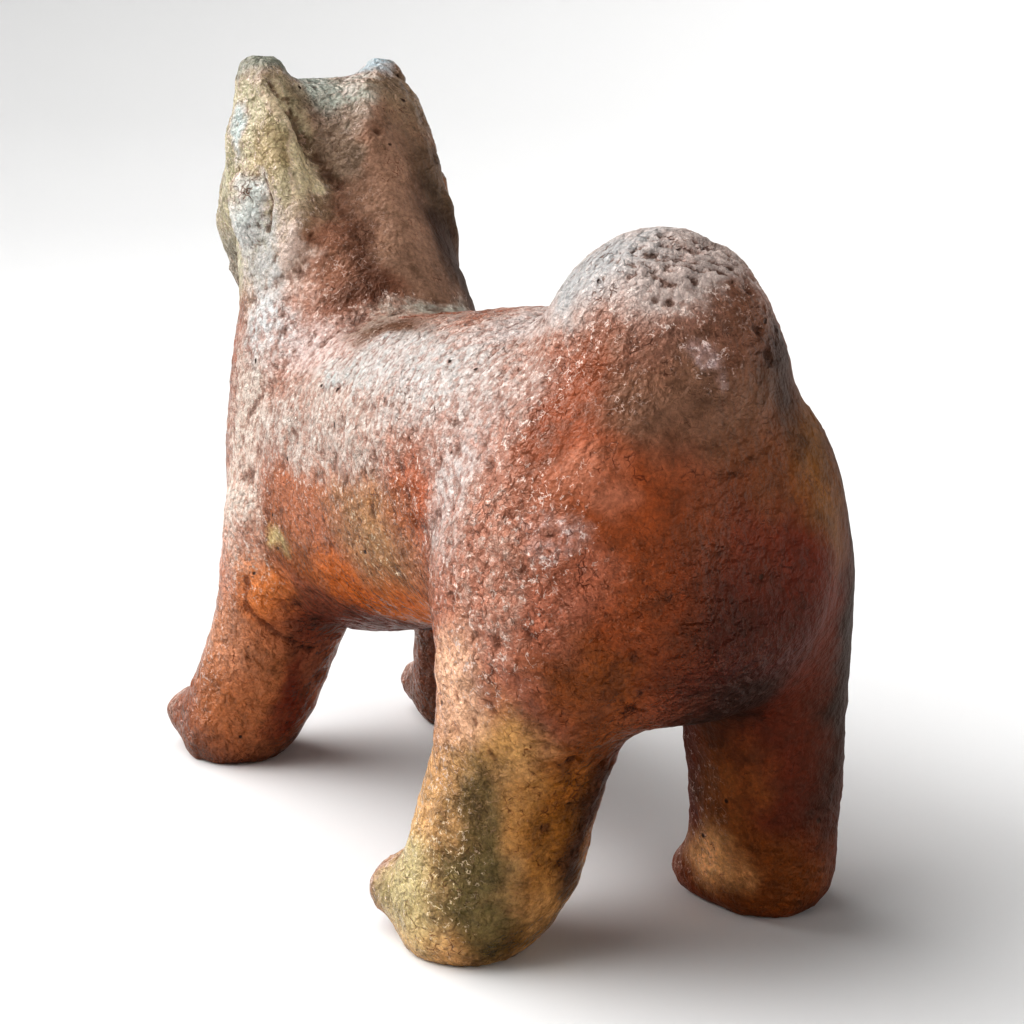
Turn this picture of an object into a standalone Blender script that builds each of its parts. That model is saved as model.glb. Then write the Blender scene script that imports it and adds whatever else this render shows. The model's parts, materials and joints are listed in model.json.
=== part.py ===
"""A hand-modelled pottery ram, standing on four stub legs, as one solid.

The potter's way is followed: rolls and lumps of clay are pressed together, the joints are smoothed
over, a valley is drawn down the nape with a finger, and the feet are pressed flat on the board.
The ram faces -Y, its left side is +X, and the ground is Z = 0.
Run with: blender --background --python part.py
"""

import math
from dataclasses import dataclass

import bmesh
import bpy
from mathutils import Matrix, Vector

# The figure's sizes, in metres. Its pose and proportions are hundredths of the first three.
HEIGHT = 0.152
LENGTH = 0.1905
WIDTH = 0.0815
HUMP_TOP_HEIGHT = 0.1185
HUMP_WIDTH = 0.041
HUMP_DEPTH = 0.046

# How the clay is worked, in metres: how far the joints are smoothed over on the body and on the small
# forms of the head, and how fine the clay is.
BODY_SMOOTHING = 0.0077
HEAD_SMOOTHING = 0.004
CLAY_GRAIN = 0.0014

# How finely the forms are drawn.
RING_POINTS = 20
DOME_STEPS = 6
TRIANGLE_COUNT = 9000

SHARP_EDGE_DEG = 40
TERRACOTTA = (0.26, 0.09, 0.045, 1.0)


@dataclass
class Leg:
    """A stub leg, in hundredths of the ram's sizes, with its radii and its bow in those of the width."""

    foot: tuple
    foot_radius: float
    ankle_radius: float
    shin_radius: float
    hip: tuple
    hip_radius: float
    toe: tuple
    bow: float


LEGS = {
    "left_hind": Leg((36.4, 26.3), 15.6, 18.6, 18.2, (21.5, 32, 38.2), 23.3, (5.5, -6, 4.6), -3),
    "right_hind": Leg((-31.3, 32.6), 15.3, 16.4, 17.2, (-27, 34.1, 36.8), 19, (8, -4.8, 2.4), 0),
    "left_fore": Leg((31.3, -34.1), 16, 17.2, 17.8, (15.3, -22.8, 38.2), 23.9, (6.1, -5.2, 4.9), -1.2),
    "right_fore": Leg((-38, -31), 15.2, 15.2, 14.7, (-29.4, -23.6, 35.5), 18.4, (6.1, -5.6, 4.6), 0),
}


def clear_scene():
    for obj in list(bpy.data.objects):
        bpy.data.objects.remove(obj)


def new_object(name, shape):
    """A bmesh made an object of the scene, with its faces pointing out."""
    bmesh.ops.recalc_face_normals(shape, faces=shape.faces)
    mesh = bpy.data.meshes.new(name)
    shape.to_mesh(mesh)
    shape.free()
    obj = bpy.data.objects.new(name, mesh)
    bpy.context.scene.collection.objects.link(obj)
    return obj


def spot(side, back, up):
    """A place on the ram, in hundredths of its width, length and height."""
    return Vector((side * WIDTH, back * LENGTH, up * HEIGHT)) / 100


def girth(share):
    """A thickness of clay, in hundredths of the ram's width."""
    return share * WIDTH / 100


def rings_at(rows):
    """Rows of (side, back, up, half_width, half_depth) in hundredths, made the stations of a roll."""
    return [(spot(*row[:3]), girth(row[3]), girth(row[4])) for row in rows]


def roll(name, stations, fullness=2.0):
    """A roll of clay: rings joined along a line, closed at both ends.

    A station is (centre, half_width, half_depth), and the width lies as near to X as the line allows.
    A fullness of 2 makes each ring an ellipse, and more makes it squarer.
    """
    shape = bmesh.new()
    centres = [station[0] for station in stations]
    last = len(stations) - 1
    rings = []
    for i, station in enumerate(stations):
        ahead = (centres[min(i + 1, last)] - centres[max(i - 1, 0)]).normalized()
        across = (Vector((1, 0, 0)) - ahead.x * ahead).normalized()
        turn = Matrix((across, ahead.cross(across), ahead)).transposed().to_4x4()
        closed = i in (0, last)
        ring = bmesh.ops.create_circle(shape, segments=RING_POINTS, radius=1.0, cap_ends=closed)["verts"]
        for vert in ring:
            for k in (0, 1):
                vert.co[k] = math.copysign(abs(vert.co[k]) ** (2 / fullness), vert.co[k]) * station[1 + k]
        bmesh.ops.transform(shape, verts=ring, matrix=Matrix.Translation(centres[i]) @ turn)
        rings.append({edge for vert in ring for edge in vert.link_edges})
    for lower, upper in zip(rings, rings[1:]):
        bmesh.ops.bridge_loops(shape, edges=list(lower | upper))
    return new_object(name, shape)


def lump(name, centre, half_sizes, turn_deg=(0.0, 0.0, 0.0)):
    """A pressed ball of clay: an ellipsoid, turned about X, Y and Z in that order.

    Its centre is a place on the ram, and its half sizes are hundredths of the ram's width.
    """
    shape = bmesh.new()
    turn = Matrix.Identity(4)
    for angle, axis in zip(turn_deg, "XYZ"):
        turn = Matrix.Rotation(math.radians(angle), 4, axis) @ turn
    size = Matrix.Diagonal((*[girth(half_size) for half_size in half_sizes], 1.0))
    place = Matrix.Translation(centre) @ turn @ size
    bmesh.ops.create_uvsphere(
        shape, u_segments=RING_POINTS, v_segments=RING_POINTS // 2, radius=1.0, matrix=place
    )
    return new_object(name, shape)


def trunk():
    """The barrel, a little slimmer at the chest than at the rump."""
    sections = [
        (-42, 56.6, 40.8, 12.3),
        (-39.6, 61.2, 34.2, 23.3),
        (-31.5, 63.8, 27, 32),
        (-15.7, 65.1, 20.8, 36.2),
        (0, 66.4, 26.2, 36.8),
        (15.7, 68.4, 29, 38),
        (32.5, 66.4, 25, 38),
        (42, 62.5, 26.3, 34.4),
        (46.7, 55.3, 35.5, 19.6),
    ]
    stations = []
    for back, top, bottom, half_width in sections:
        rise = spot(0, 0, (top - bottom) / 2)
        stations.append((spot(0, back, bottom) + rise, girth(half_width), rise.z))
    return roll("trunk", stations, fullness=2.4)


def haunch(side):
    """The swell of a hind quarter, on the left (1) or the right (-1)."""
    return lump(f"haunch_{side}", spot(side * 24, 32, 39.5), (20.2, 29.4, 34.4))


def hump():
    """The rounded tail hump on the rump: a dome on a short drum, leaning a little to the left."""
    foot = spot(-2.5, 31, 51)
    middle = spot(-2.5, 33, 60)
    lean = spot(1.2, 0, 0)
    rise = HUMP_TOP_HEIGHT - middle.z
    stations = [(foot, HUMP_WIDTH / 2, HUMP_DEPTH / 2)]
    for step in range(DOME_STEPS):
        angle = math.radians(90 * step / DOME_STEPS)
        centre = middle + math.sin(angle) * (lean + Vector((0, 0, rise)))
        stations.append((centre, HUMP_WIDTH / 2 * math.cos(angle), HUMP_DEPTH / 2 * math.cos(angle)))
    top = middle + lean + Vector((0, 0, rise))
    stations.append((top, HUMP_WIDTH / 20, HUMP_DEPTH / 20))
    return roll("hump", stations)


def neck():
    """The upright neck, which leans forward a little to the crown."""
    rows = [
        (0.6, -24.1, 40.8, 35.6, 38),
        (0, -24.7, 55.3, 33.1, 39.3),
        (-0.6, -25.7, 61.8, 31.3, 38),
        (-1.2, -27.6, 68.4, 28.2, 33.1),
        (-0.6, -29.7, 76.3, 27, 29.4),
        (0.6, -31.2, 84.2, 27, 27),
        (1.2, -32.5, 90.8, 25.2, 23.3),
        (1.2, -33.1, 96.7, 19.6, 16),
    ]
    return roll("neck", rings_at(rows))


def face():
    """The long face, sloping down and forward from the crown to a blunt snout."""
    rows = [
        (0, -30.4, 85.5, 23.3, 23.3),
        (0, -36.7, 84.2, 23.3, 23.3),
        (0.6, -43, 79.6, 19.6, 19.6),
        (2.5, -47.8, 75.3, 16, 15.3),
        (3.7, -50.7, 73.7, 12.3, 12.3),
        (3.7, -52, 73, 6.1, 6.1),
    ]
    return roll("face", rings_at(rows))


def leg(name):
    """A stub leg: a roll that thickens into the body, with its foot and the bump of its toe."""
    size = LEGS[name]
    foot = spot(*size.foot, 0)
    hip = spot(*size.hip)
    # Each ring stands at a share of the way from the sole to the hip, and the first lies in the body.
    down_the_leg = [
        (1.3, size.hip_radius * 0.6),
        (1, size.hip_radius),
        (0.55, size.shin_radius),
        (0.25, size.ankle_radius),
    ]
    stations = []
    for share, radius in down_the_leg:
        bow = spot(size.bow * max(0, min(1, 2 - 2 * share)), 0, 0)
        stations.append((foot.lerp(hip, share) + bow, girth(radius), girth(radius)))
    # The foot is pressed down a little below the ground, where it is cut off flat.
    for up, radius in ((2, size.foot_radius), (-2, size.foot_radius * 0.7)):
        stations.append((foot + spot(0, 0, up), girth(radius), girth(radius)))
    toe = lump(name + "_toe", foot + spot(*size.toe), (size.foot_radius * 0.6, 9.8, 7.4))
    return [roll(name, stations), toe]


def horn(side):
    """A peak on the crown, from which a broad horn curls back, down and round the ear to the cheek."""
    peak = [
        (side * 11, -31.5, 85.5, 8.6, 9.8),
        (side * 16.6, -32, 94.1, 8, 9.8),
        (side * 17.8, -32.5, 98, 6.1, 8.6),
        (side * 17.8, -32.5, 100, 3.1, 4.9),
    ]
    curl = [
        (side * 15.3 + 1.2, -31.5, 97.4, 4.9, 4.9),
        (side * 16 + 1.2, -26.8, 92.1, 6.7, 6.7),
        (side * 16.6 + 1.2, -23.6, 84.2, 7.4, 7.4),
        (side * 17.8, -22.3, 76.3, 6.7, 6.7),
        (side * 22.1, -24.1, 71.1, 5.5, 5.5),
        (side * 23.9, -28.3, 68.4, 3.7, 3.7),
    ]
    return [roll(f"horn_peak_{side}", rings_at(peak)), roll(f"horn_curl_{side}", rings_at(curl))]


def ear(side):
    """A flattened pellet of clay on the side of the head, inside the horn's curl."""
    return lump(f"ear_{side}", spot(side * 25.2, -28.3, 77), (4.3, 6.7, 9.8), (0, 0, side * -15))


def chin():
    return lump("chin", spot(3.7, -46.7, 68.8), (11, 8.6, 7.4))


def valley():
    """The hollow between the horns, which runs back and down the nape beside the left horn."""
    rows = [
        (0, -44.6, 105.9, 16, 16),
        (1.2, -32.5, 105.6, 16, 16),
        (5.5, -24.7, 102.3, 16, 16),
        (9.8, -21, 96.7, 15.3, 15.3),
        (13.5, -18.9, 90.8, 14.7, 14.7),
        (11, -15.5, 83.6, 14.7, 14.7),
        (8.6, -12.3, 79.6, 14.7, 14.7),
        (7.4, -7.3, 78.3, 14.7, 14.7),
        (7.4, -2.1, 79.6, 14.7, 14.7),
    ]
    return roll("valley", rings_at(rows))


def fused(name, pieces, smoothing):
    """The pieces made one body, with their joints smoothed over as on wet clay.

    A round of smoothing evens out about one grain of clay, and the reach grows with the square root
    of the rounds.
    """
    joined = bmesh.new()
    for piece in pieces:
        joined.from_mesh(piece.data)
        bpy.data.objects.remove(piece)
    body = new_object(name, joined)
    fuse = body.modifiers.new("fuse", "REMESH")
    fuse.mode = "VOXEL"
    fuse.voxel_size = CLAY_GRAIN
    smooth = body.modifiers.new("smooth over", "SMOOTH")
    smooth.factor = 0.5
    smooth.iterations = round((smoothing / CLAY_GRAIN) ** 2)
    apply_modifiers(body)
    return body


def carve(body, tool):
    """The tool's shape drawn out of the body."""
    cut = body.modifiers.new("carve", "BOOLEAN")
    cut.operation = "DIFFERENCE"
    cut.object = tool
    apply_modifiers(body)
    bpy.data.objects.remove(tool)


def coarsen(body, triangles):
    """The body made of about this many triangles, kept finest where it bends most."""
    coarse = body.modifiers.new("coarsen", "DECIMATE")
    coarse.ratio = triangles / (2 * len(body.data.polygons))
    coarse.use_collapse_triangulate = True
    apply_modifiers(body)


def apply_modifiers(obj):
    graph = bpy.context.evaluated_depsgraph_get()
    obj.data = bpy.data.meshes.new_from_object(obj.evaluated_get(graph))
    obj.modifiers.clear()


def press_feet_flat(body):
    """Everything under the ground is cut away, which leaves a flat sole on each foot."""
    shape = bmesh.new()
    shape.from_mesh(body.data)
    geometry = shape.verts[:] + shape.edges[:] + shape.faces[:]
    ground = {"plane_co": (0, 0, 0), "plane_no": (0, 0, 1)}
    cut = bmesh.ops.bisect_plane(shape, geom=geometry, clear_inner=True, **ground)
    rims = [item for item in cut["geom_cut"] if isinstance(item, bmesh.types.BMEdge)]
    bmesh.ops.holes_fill(shape, edges=rims)
    bmesh.ops.triangulate(shape, faces=shape.faces)
    shape.to_mesh(body.data)
    shape.free()


def centre_over_origin(body):
    """The body moved so that the middle of its length and width stands over the origin."""
    sides = [[vert.co[axis] for vert in body.data.vertices] for axis in (0, 1)]
    middle = [(min(side) + max(side)) / 2 for side in sides]
    body.data.transform(Matrix.Translation((-middle[0], -middle[1], 0)))


def earthenware():
    material = bpy.data.materials.new("terracotta")
    material.use_nodes = True
    shader = material.node_tree.nodes["Principled BSDF"]
    shader.inputs["Base Color"].default_value = TERRACOTTA
    shader.inputs["Roughness"].default_value = 0.5
    shader.inputs["Metallic"].default_value = 0.0
    return material


def main():
    clear_scene()
    pieces = [trunk(), haunch(1), haunch(-1), hump(), neck(), face()]
    for name in LEGS:
        pieces += leg(name)
    body = fused("body", pieces, BODY_SMOOTHING)
    ram = fused("ram", [body, chin(), *horn(1), *horn(-1), ear(1), ear(-1)], HEAD_SMOOTHING)
    carve(ram, valley())
    ram = fused("ram", [ram], HEAD_SMOOTHING)
    coarsen(ram, TRIANGLE_COUNT)
    press_feet_flat(ram)
    centre_over_origin(ram)
    ram.name = "ram"
    ram.data.materials.append(earthenware())
    parts = bpy.data.collections.new("pottery_ram")
    bpy.context.scene.collection.children.link(parts)
    bpy.context.scene.collection.objects.unlink(ram)
    parts.objects.link(ram)
    ram.data.shade_smooth()
    ram.data.set_sharp_from_angle(angle=math.radians(SHARP_EDGE_DEG))


main()
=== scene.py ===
# %% [markdown]
# # A burnished pottery ram
#
# The real object is a ram of red-brown earthenware, about 15 cm tall, shaped by hand from rolls and lumps
# of clay, rubbed smooth in places and fired in an open fire. This lesson gives a plain solid ram the skin
# of the real one: first its small forms, then its rough grain, then its colours. What it says of how the
# real one was made, fired and buried is read from its looks and may be wrong in places.
#
# The imported solid is loaded first. It is the frame: every place below is measured on it, and it is
# never changed.

# %% Load the solid ram
import json
import math

import bpy
import numpy as np
from mathutils import Matrix, Vector, noise

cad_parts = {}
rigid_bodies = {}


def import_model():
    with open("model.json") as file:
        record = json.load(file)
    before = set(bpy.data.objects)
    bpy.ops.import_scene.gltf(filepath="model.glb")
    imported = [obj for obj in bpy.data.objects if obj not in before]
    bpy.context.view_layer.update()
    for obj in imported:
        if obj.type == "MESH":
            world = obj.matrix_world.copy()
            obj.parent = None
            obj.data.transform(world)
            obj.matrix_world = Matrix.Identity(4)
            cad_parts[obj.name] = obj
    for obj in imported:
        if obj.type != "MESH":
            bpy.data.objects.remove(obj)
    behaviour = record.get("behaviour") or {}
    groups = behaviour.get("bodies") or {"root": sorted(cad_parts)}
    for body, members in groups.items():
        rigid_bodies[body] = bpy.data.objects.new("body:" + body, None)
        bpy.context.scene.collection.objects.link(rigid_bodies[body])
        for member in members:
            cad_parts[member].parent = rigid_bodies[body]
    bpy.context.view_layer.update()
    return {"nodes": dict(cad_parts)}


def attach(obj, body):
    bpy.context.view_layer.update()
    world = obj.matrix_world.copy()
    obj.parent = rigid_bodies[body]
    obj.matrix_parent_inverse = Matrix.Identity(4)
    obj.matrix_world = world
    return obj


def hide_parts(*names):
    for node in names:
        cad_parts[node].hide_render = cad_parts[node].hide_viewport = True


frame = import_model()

MM = 0.001

# %% [markdown]
# ## The camera and the light
#
# The camera comes first, so that every later step can be looked at from the photograph's side: low,
# behind the ram's left hip, and close enough for the near leg to look much larger than the far one.
# A camera points along its own -Z, so it is tipped up from looking straight down, then turned.

# %% Camera
CAMERA_PLACE = Vector((157.7, 293.7, 125.0)) * MM
CAMERA_TURN_DEG = 149.9
CAMERA_DOWN_DEG = 10.85
CAMERA_ROLL_DEG = -0.64
FOCAL_PIXELS = 1724
IMAGE_PIXELS = 1024
SENSOR_MM = 36

bpy.ops.object.select_all(action="DESELECT")
bpy.ops.object.camera_add()
camera = bpy.context.object
camera.name = "camera"
turn = Matrix.Rotation(math.radians(CAMERA_TURN_DEG), 4, "Z")
tip = Matrix.Rotation(math.radians(90 - CAMERA_DOWN_DEG), 4, "X")
roll = Matrix.Rotation(math.radians(CAMERA_ROLL_DEG), 4, "Z")
camera.matrix_world = Matrix.Translation(CAMERA_PLACE) @ turn @ tip @ roll
camera.data.sensor_width = SENSOR_MM
camera.data.lens = FOCAL_PIXELS / IMAGE_PIXELS * SENSOR_MM
camera.data.clip_start = 0.01
bpy.context.scene.camera = camera
print("lens, mm:", round(camera.data.lens, 1))

# %% [markdown]
# The floor is a wide pale disc whose rim sweeps up all round, so that no horizon shows from any side.
# A circle is a good start for it: its edge is extruded outwards and upwards, a little steeper each time,
# by the widening and the rise, in metres, that the sweep lists. Its finish is matt white wall paint, which
# is rough all over and so gives the eye nothing but soft shadows.

# %% Floor
FLOOR_RADIUS = 2.5
FLOOR_CORNERS = 96
FLOOR_SWEEP = [(1.2, 0.06), (1.18, 0.2), (1.15, 0.4), (1.12, 0.6), (1.1, 0.8)]
FLOOR_GREY = (0.75, 0.75, 0.75, 1)

bpy.ops.object.select_all(action="DESELECT")
bpy.ops.mesh.primitive_circle_add(vertices=FLOOR_CORNERS, radius=FLOOR_RADIUS, fill_type="NGON")
floor = bpy.context.object
floor.name = "floor"
bpy.ops.object.mode_set(mode="EDIT")
bpy.ops.mesh.select_mode(type="EDGE")
bpy.ops.mesh.select_all(action="SELECT")
for widen, rise in FLOOR_SWEEP:
    bpy.ops.mesh.extrude_edges_move(TRANSFORM_OT_translate={"value": (0, 0, rise)})
    bpy.ops.transform.resize(value=(widen, widen, 1))
bpy.ops.object.mode_set(mode="OBJECT")
floor.data.shade_smooth()

floor_paint = bpy.data.materials.new("matt white paint")
floor_paint.use_nodes = True
floor_shader = floor_paint.node_tree.nodes["Principled BSDF"]
floor_shader.inputs["Base Color"].default_value = FLOOR_GREY
floor_shader.inputs["Roughness"].default_value = 0.9
floor.data.materials.append(floor_paint)
print("floor, m:", [round(size, 2) for size in floor.dimensions])

# %% [markdown]
# The light is that of a plain studio: a low soft window beyond the ram's head, a second one high above
# it, a third on its left, and a faint warm sky that fills the shadows. A sun lamp with a wide angle is
# such a window placed far away, so that the whole floor is lit evenly. Because the low one stands beyond
# the ram, it also skims the skin towards the camera, and every grain of the clay glints.

# %% Lamps
def window(name, towards, soft_deg, strength):
    """A wide soft light that shines from this direction, in watts on each square metre."""
    bpy.ops.object.select_all(action="DESELECT")
    bpy.ops.object.light_add(type="SUN", location=towards)
    lamp = bpy.context.object
    lamp.name = name
    lamp.data.energy = strength
    lamp.data.angle = math.radians(soft_deg)
    lamp.rotation_euler = Vector(towards).to_track_quat("Z", "Y").to_euler()


SKY_COLOUR, SKY_STRENGTH = (1.0, 0.98, 0.95, 1.0), 0.10
window("far_window", towards=(0.37, -0.86, 0.27), soft_deg=45, strength=2.2)
window("high_window", towards=(0.35, -0.35, 0.87), soft_deg=60, strength=1.9)
window("left_window", towards=(0.90, -0.30, 0.50), soft_deg=60, strength=1.9)

world = bpy.data.worlds.new("pale_sky")
world.use_nodes = True
world.node_tree.nodes["Background"].inputs["Color"].default_value = SKY_COLOUR
world.node_tree.nodes["Background"].inputs["Strength"].default_value = SKY_STRENGTH
bpy.context.scene.world = world
bpy.context.scene.view_settings.view_transform = "Standard"
bpy.context.scene.view_settings.look = "High Contrast"
print("sky strength:", SKY_STRENGTH)

# %% [markdown]
# ## The clay body
#
# The body is one piece of clay. It could be modelled afresh, but the solid already has its true form,
# so the work starts from a copy. The solid's mesh comes as loose triangles, which are merged first:
# only then do neighbouring faces share their corners and move together.

# %% Copy the solid
MERGE_MM = 0.01
solid = frame["nodes"]["ram"]
ram = bpy.data.objects.new("burnished_ram", solid.data.copy())
bpy.context.scene.collection.objects.link(ram)


def work_on(piece):
    """Selects one piece alone, so that the next operator acts on nothing else."""
    bpy.ops.object.select_all(action="DESELECT")
    piece.select_set(True)
    bpy.context.view_layer.objects.active = piece


work_on(ram)
bpy.ops.object.mode_set(mode="EDIT")
bpy.ops.mesh.select_all(action="SELECT")
bpy.ops.mesh.remove_doubles(threshold=MERGE_MM * MM)
bpy.ops.object.mode_set(mode="OBJECT")
print("clay body:", len(ram.data.vertices), "corners,", len(ram.data.polygons), "faces")

# %% [markdown]
# ## Horns, ears and mouth
#
# On the real ram each horn is a roll of clay that starts at a short peak, runs back and down behind the
# ear and ends on the cheek. The solid has the peaks and the broad curl. What it lacks is the crest that
# the potter's thumb left along the curl, so a thin roll is laid on it: a curve with a round bevel, whose
# points have a radius each, turned into a mesh.

# %% Rolls along the horns
def clay_roll(name, points):
    """A thin roll of clay through points of (side, back, up, radius) in millimetres."""
    bpy.ops.object.select_all(action="DESELECT")
    bpy.ops.curve.primitive_bezier_curve_add()
    strand = bpy.context.object
    strand.name = name
    line = strand.data.splines[0]
    line.bezier_points.add(len(points) - len(line.bezier_points))
    for point, (side, back, up, radius) in zip(line.bezier_points, points):
        point.co = Vector((side, back, up)) * MM
        point.radius = radius
        point.handle_left_type = point.handle_right_type = "AUTO"
    strand.data.bevel_depth = MM
    strand.data.bevel_resolution = 3
    strand.data.resolution_u = 8
    strand.data.use_fill_caps = True
    bpy.ops.object.convert(target="MESH")
    return bpy.context.object


LEFT_CREST = [(15.5, -54, 149, 1.5), (17.2, -48, 144.5, 2.2), (16.2, -43.5, 137, 2.6),
              (15.6, -40, 129, 2.6), (16.2, -35.5, 120, 2.6), (18, -34, 112.5, 2.2), (20.5, -37.5, 106, 1.6)]
RIGHT_CREST = [(-13.5, -55, 149.5, 1.6), (-10.5, -51, 148, 2.0), (-6.5, -47, 144.5, 2.2),
               (-1, -43.5, 140.2, 1.8), (1.5, -40.5, 136, 1.2)]
RIGHT_CURL = [(-15, -54, 148, 1.5), (-15.5, -47.5, 142, 2.4), (-16, -43, 134, 2.8),
              (-16.5, -39, 125, 2.6), (-18, -36, 116, 2.4), (-20.5, -38, 107, 1.6)]
rolls = [clay_roll("left_crest", LEFT_CREST), clay_roll("right_crest", RIGHT_CREST),
         clay_roll("right_curl", RIGHT_CURL)]
print("rolls:", [piece.name for piece in rolls])

# %% [markdown]
# The ears are flat pellets pressed on inside the curl, two more cap the horn tips, and the lips are
# pinches under the snout. Each starts as a ball and is flattened to its own size and turned in place.

# %% Pellets for ears, lips and horn tips
def pellet(name, place, half_sizes, turn_deg=(0, 0, 0)):
    """A flattened ball of clay, sized in millimetres along its own axes and then turned."""
    bpy.ops.object.select_all(action="DESELECT")
    bpy.ops.mesh.primitive_uv_sphere_add(segments=24, ring_count=14, radius=MM,
                                         location=Vector(place) * MM,
                                         rotation=[math.radians(angle) for angle in turn_deg])
    ball = bpy.context.object
    ball.name = name
    ball.scale = half_sizes
    bpy.ops.object.transform_apply(location=True, rotation=True, scale=True)
    return ball


EAR_TURN_DEG = 24
pellets = [
    pellet("left_ear", (22.4, -47.5, 120), (2.6, 5.2, 8.2), (8, 0, EAR_TURN_DEG)),
    pellet("right_ear", (-22.6, -48.5, 120), (2.6, 5.2, 8.2), (8, 0, -EAR_TURN_DEG)),
    pellet("left_tip", (14.8, -56.5, 149), (4.2, 5.2, 2.6), (0, 12, 30)),
    pellet("right_tip", (-13.8, -56.5, 149.4), (4.0, 5.0, 2.4), (0, -10, -25)),
    pellet("upper_lip", (3.5, -89, 106), (8.0, 4.0, 3.0), (25, 0, 0)),
    pellet("lower_lip", (3.5, -84, 101), (7.0, 4.5, 3.0), (10, 0, 0)),
]
print("pellets:", [piece.name for piece in pellets])

# %% [markdown]
# A potter presses such pieces on and smears their joints. Here they are joined to the body's object and
# a voxel Remesh makes one skin over all of them, with faces of even size, about 1.1 mm wide. Where the
# finest forms will be, on the head, the back and the hump, each face is then subdivided into four.

# %% Press the pieces on
SKIN_FACE = 1.08 * MM


def finish_with(piece, kind, **settings):
    """Adds one modifier with its settings and applies it."""
    work_on(piece)
    modifier = piece.modifiers.new(kind.lower(), kind)
    for name, value in settings.items():
        setattr(modifier, name, value)
    bpy.ops.object.modifier_apply(modifier=modifier.name)


work_on(ram)
for piece in rolls + pellets:
    piece.select_set(True)
bpy.ops.object.join()
finish_with(ram, "REMESH", mode="VOXEL", voxel_size=SKIN_FACE)
finish_with(ram, "SMOOTH", factor=0.5, iterations=3)
print("one skin:", len(ram.data.polygons), "faces")

# %% [markdown]
# The places for finer faces are picked as egg-shaped regions, and so are the places for rough clay and
# for stains later on. Each egg is a centre and three half sizes in millimetres.

# %% Finer faces where they count
def skin_arrays(piece):
    """The piece's points and their outward directions, in millimetres."""
    points = np.empty(len(piece.data.vertices) * 3)
    piece.data.vertices.foreach_get("co", points)
    outward = np.empty(len(piece.data.vertices) * 3)
    piece.data.vertex_normals.foreach_get("vector", outward)
    return points.reshape(-1, 3) / MM, outward.reshape(-1, 3)


def egg_weights(points, eggs, fade=0.6):
    """1 inside any egg (centre, half sizes, in mm), fading to 0 at (1 + fade) times its size."""
    weights = np.zeros(len(points))
    for centre, half_sizes in eggs:
        reach = np.linalg.norm((points - np.array(centre)) / np.array(half_sizes), axis=1)
        weights = np.maximum(weights, np.clip((1 + fade - reach) / fade, 0, 1))
    return weights


FINE = [((12, -46, 134), (18, 16, 22)), ((2, 76, 110), (18, 18, 12)), ((22, 30, 95), (12, 34, 8))]
points, outward = skin_arrays(ram)
fine_point = egg_weights(points, FINE) > 0.5
work_on(ram)
bpy.ops.object.mode_set(mode="EDIT")
bpy.ops.mesh.select_mode(type="FACE")
bpy.ops.mesh.select_all(action="DESELECT")
bpy.ops.object.mode_set(mode="OBJECT")
for face in ram.data.polygons:
    face.select = bool(fine_point[list(face.vertices)].all())
bpy.ops.object.mode_set(mode="EDIT")
bpy.ops.mesh.subdivide(number_cuts=1, smoothness=1)
bpy.ops.object.mode_set(mode="OBJECT")
triangles = len(ram.data.loops) - 2 * len(ram.data.polygons)
print("with finer faces:", len(ram.data.polygons), "faces,", triangles, "triangles")

# %% [markdown]
# ## Thumb work and creases
#
# Some forms are pressed in, not laid on: the furrow inside the left horn, the crease where the foreleg
# was smeared on to the flank, the mouth. A sculptor's brush moves points within its reach along the
# skin's own direction, most in the middle and less towards the rim, and that is done here in code. Each
# furrow is listed with its reach to each side, its depth and its line, in mm.

# %% A brush in code
def put_points(piece, points):
    """Moves the piece's points to places in millimetres."""
    piece.data.vertices.foreach_set("co", (points * MM).ravel())
    piece.data.update()


def distance_to_line(points, line):
    """How far each point is from a line through the given places, in millimetres."""
    nearest = np.full(len(points), np.inf)
    for start, end in zip(line, line[1:]):
        start, end = np.array(start, float), np.array(end, float)
        along = end - start
        share = np.clip((points - start) @ along / (along @ along), 0, 1)
        nearest = np.minimum(nearest, np.linalg.norm(points - start - share[:, None] * along, axis=1))
    return nearest


def stroke(piece, line, reach, depth):
    """Presses a furrow along the line that reaches this many mm to each side and is this many mm deep."""
    points, outward = skin_arrays(piece)
    share = np.clip(1 - distance_to_line(points, line) / reach, 0, 1)
    press = depth * share * share * (3 - 2 * share)
    put_points(piece, points - outward * press[:, None])


FURROWS = [
    ("inside of the left horn", 3.2, 1.3, [(16.5, -46.5, 146.5), (13, -44.2, 139), (9.8, -40.5, 131),
                                           (7.2, -36.8, 125)]),
    ("its sharp bottom", 1.5, 0.7, [(13.4, -46, 142.5), (10.5, -42, 134), (8, -37.8, 127)]),
    ("crease of the left shoulder", 2.4, 0.7, [(30.8, -36.5, 44), (30.3, -38.5, 38.7), (27.5, -36, 34.3),
                                               (23.1, -34.5, 30.8), (17.3, -34.9, 27.6)]),
    ("fold under the rump", 2.5, 0.8, [(15, 88, 52), (17, 86, 47), (20, 83, 45)]),
    ("rim of the left ear", 1.3, 0.9, [(21.5, -42, 127), (20.8, -39.5, 121.5), (21.2, -41, 116)]),
    ("step under the right horn tip", 1.4, 0.7, [(-8, -50.5, 147.8), (-12, -51.5, 149), (-15.5, -50, 147.8)]),
    ("mouth", 1.7, 1.1, [(-8.5, -90, 103.4), (3.5, -93.5, 103.4), (13, -88, 103.4)]),
]
for name, reach, depth, line in FURROWS:
    stroke(ram, line, reach, depth)
print("furrows:", len(FURROWS))

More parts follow.
